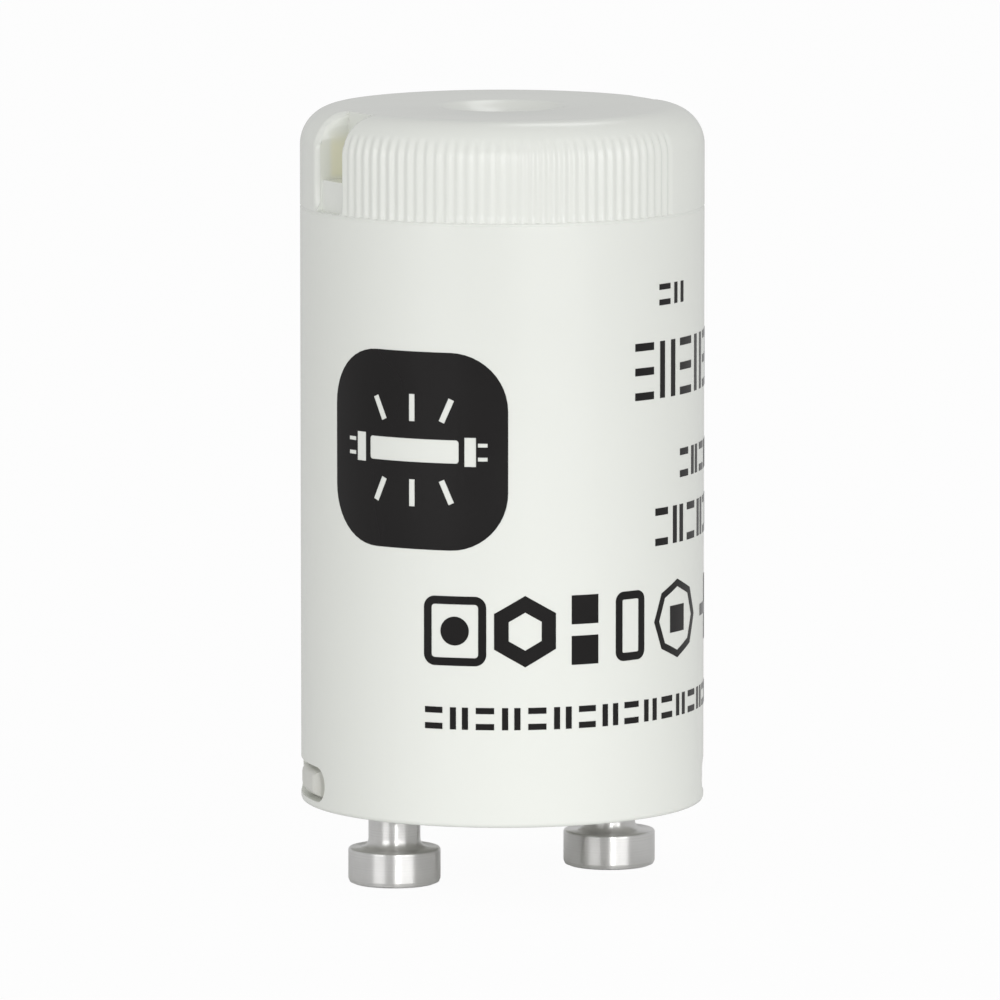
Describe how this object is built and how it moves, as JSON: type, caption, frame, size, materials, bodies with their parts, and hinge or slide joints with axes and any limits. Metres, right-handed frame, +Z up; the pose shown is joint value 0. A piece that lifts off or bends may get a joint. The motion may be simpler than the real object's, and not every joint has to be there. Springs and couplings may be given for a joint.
{
  "type": "fluorescent lamp starter",
  "caption": "Twist-in glow starter for a fluorescent lamp: white cylindrical shell with a ribbed grip, closed by an insulating base with headed contact pins.",
  "frame": {"origin": "on the shell's axis, level with the feet of the contact pins", "axes": "+Z up along the shell's axis from the pins to the grip; the pins stand on the X axis"},
  "size_m": [0.021, 0.021, 0.0403],
  "materials": {
    "shell_plastic": "smooth, slightly glossy, with black printing",
    "base_plastic": "matte moulded",
    "pin_metal": "fine turned satin",
    "tag_brass": "stamped",
    "solder": "dull, rounded",
    "lamp_glass": "clear",
    "lead_wire": "tinned",
    "electrode_metal": "plain drawn",
    "bimetal": "rolled strip",
    "capacitor_plastic": "fine moulded texture",
    "capacitor_potting": "cast resin"
  },
  "bodies": {
    "root": {"canister": "shell_plastic", "base_disc": "base_plastic", "contact_pin_left": "pin_metal", "contact_pin_right": "pin_metal", "terminal_tag_left": "tag_brass", "terminal_tag_right": "tag_brass", "solder_joint_left": "solder", "solder_joint_right": "solder", "lamp_envelope": "lamp_glass", "lamp_lead_left": "lead_wire", "lamp_lead_right": "lead_wire", "fixed_electrode": "electrode_metal", "bimetal_strip": "bimetal", "capacitor_case": "capacitor_plastic", "capacitor_resin": "capacitor_potting", "capacitor_lead_left": "lead_wire", "capacitor_lead_right": "lead_wire"}
  },
  "joints": []
}
